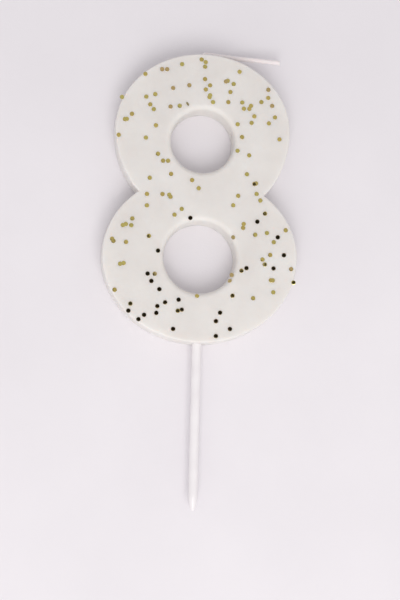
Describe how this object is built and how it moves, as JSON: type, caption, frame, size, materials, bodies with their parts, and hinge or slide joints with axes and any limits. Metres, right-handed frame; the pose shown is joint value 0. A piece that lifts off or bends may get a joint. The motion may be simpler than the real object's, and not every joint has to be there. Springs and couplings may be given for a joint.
{
  "type": "number birthday candle",
  "caption": "Flat wax birthday candle cast as the numeral 8, sprinkled with gold foil dots, on a white plastic cake stick, its waxed wick folded to one side.",
  "frame": {"origin": "under the middle of the whole candle's length and width, on the plane of the numeral's flat back", "axes": "+X to the reader's right, +Y along the candle from the stick's tip to the numeral's top, +Z out of the numeral's face"},
  "size_m": [0.0758, 0.1792, 0.011],
  "materials": {
    "wax": "satin",
    "white_plastic": "gloss",
    "waxed_wick": "matte",
    "gold_foil": "polished"
  },
  "bodies": {
    "candle": {"wax_numeral": "wax", "stick": "white_plastic", "wick_root": "waxed_wick"},
    "wick": {"wick_tip": "waxed_wick"}
  },
  "joints": [
    {"name": "wick_bend", "type": "hinge", "parent": "candle", "child": "wick", "pos_m": [0, 0.08865, 0.005], "axis": [0, 0, 1], "range_deg": [0, 96]}
  ]
}
